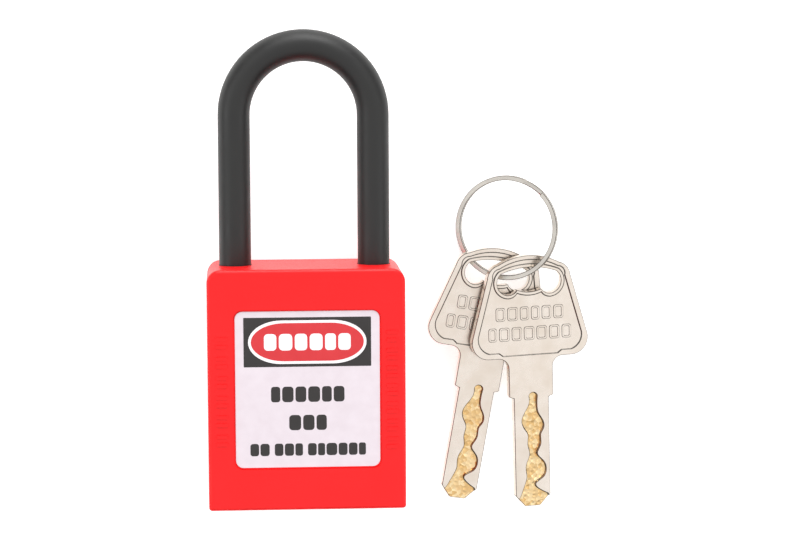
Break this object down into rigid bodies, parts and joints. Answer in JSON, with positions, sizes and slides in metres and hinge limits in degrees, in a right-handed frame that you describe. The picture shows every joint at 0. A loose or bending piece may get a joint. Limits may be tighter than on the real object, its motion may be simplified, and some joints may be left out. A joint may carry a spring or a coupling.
{
  "type": "safety padlock",
  "caption": "Red-bodied safety lockout padlock with a slim black U shackle, a label recessed in its face, a bottom keyway, and flat keys on a split ring lying beside it.",
  "frame": {"origin": "centre of the body's back face, in its plane", "axes": "+X across the body towards the toe leg, +Y along the legs towards the shackle bow, +Z out of the label face; the padlock lies on its back on Z = 0"},
  "size_m": [0.0729, 0.0924, 0.0202],
  "materials": {
    "red_nylon": "moulded red glass-filled nylon, fine satin grain",
    "black_nylon": "moulded black nylon, satin",
    "label_film": "printed polyester label, semi-gloss",
    "zinc": "die-cast zinc, dull",
    "pin_steel": "ground steel pin",
    "brass": "machined brass, satin",
    "spring_steel": "spring steel, bright",
    "shackle_coat": "hardened steel, black satin coat",
    "ring_steel": "nickel-plated spring steel",
    "key_nickel": "nickel-plated brass, satin, brass showing in the milled wave"
  },
  "bodies": {
    "lock": {"lock_body": "red_nylon", "end_cover": "black_nylon", "front_label": "label_film", "rear_label": "label_film", "cylinder_housing": "zinc", "spacer_bush": "zinc", "cylinder_retaining_pin": "pin_steel", "heel_retaining_pin": "pin_steel", "toe_bolt_spring": "spring_steel", "heel_bolt_spring": "spring_steel"},
    "plug_group": {"plug": "brass", "plug_clip": "spring_steel", "cam_actuator": "zinc", "wafer_springs": "spring_steel"},
    "toe_bolt": {"toe_bolt": "brass"},
    "heel_bolt": {"heel_bolt": "brass"},
    "shackle": {"shackle": "shackle_coat"},
    "ring": {"key_ring": "ring_steel"},
    "front_key": {"key_front": "key_nickel"},
    "rear_key": {"key_rear": "key_nickel"},
    "wafer_1": {"wafer_1": "brass"},
    "wafer_2": {"wafer_2": "brass"},
    "wafer_3": {"wafer_3": "brass"},
    "wafer_4": {"wafer_4": "brass"},
    "wafer_5": {"wafer_5": "brass"},
    "wafer_6": {"wafer_6": "brass"}
  },
  "joints": [
    {"name": "shackle_lift", "type": "slide", "parent": "lock", "child": "shackle", "axis": [0, 1, 0], "range_m": [0, 0.012]},
    {"name": "plug_turn", "type": "hinge", "parent": "lock", "child": "plug_group", "pos_m": [0, -0.01, 0.01], "axis": [0, 1, 0], "range_deg": [-90, 0]},
    {"name": "toe_bolt_slide", "type": "slide", "parent": "lock", "child": "toe_bolt", "axis": [1, 0, 0], "range_m": [0, 0.0015], "deforming": ["toe_bolt_spring"]},
    {"name": "heel_bolt_slide", "type": "slide", "parent": "lock", "child": "heel_bolt", "axis": [-1, 0, 0], "range_m": [0, 0.0015], "deforming": ["heel_bolt_spring"]},
    {"name": "wafer_1_slide", "type": "slide", "parent": "plug_group", "child": "wafer_1", "axis": [1, 0, 0], "range_m": [-0.0007, 0], "deforming": ["wafer_springs"]},
    {"name": "wafer_2_slide", "type": "slide", "parent": "plug_group", "child": "wafer_2", "axis": [1, 0, 0], "range_m": [-0.0007, 0]},
    {"name": "wafer_3_slide", "type": "slide", "parent": "plug_group", "child": "wafer_3", "axis": [1, 0, 0], "range_m": [-0.0007, 0]},
    {"name": "wafer_4_slide", "type": "slide", "parent": "plug_group", "child": "wafer_4", "axis": [1, 0, 0], "range_m": [-0.0007, 0]},
    {"name": "wafer_5_slide", "type": "slide", "parent": "plug_group", "child": "wafer_5", "axis": [1, 0, 0], "range_m": [-0.0007, 0]},
    {"name": "wafer_6_slide", "type": "slide", "parent": "plug_group", "child": "wafer_6", "axis": [1, 0, 0], "range_m": [-0.0007, 0]},
    {"name": "key_ring_lift", "type": "slide", "parent": "lock", "child": "ring", "axis": [0, 0, 1], "range_m": [0, 0.05]},
    {"name": "key_front_swing", "type": "hinge", "parent": "ring", "child": "front_key", "pos_m": [0.04037, 0.01958, 0.00484], "axis": [0.1528, -0.0545, 0.9868], "range_deg": [-3, 4.5]},
    {"name": "key_rear_swing", "type": "hinge", "parent": "ring", "child": "rear_key", "pos_m": [0.03456, 0.02124, 0.00315], "axis": [0.0958, -0.0472, 0.9943], "range_deg": [-5, 5]}
  ],
  "couplings": [
    {"joint": "toe_bolt_slide", "follows": "plug_turn", "m_per_rad": -0.00095493},
    {"joint": "heel_bolt_slide", "follows": "plug_turn", "m_per_rad": -0.00095493}
  ]
}
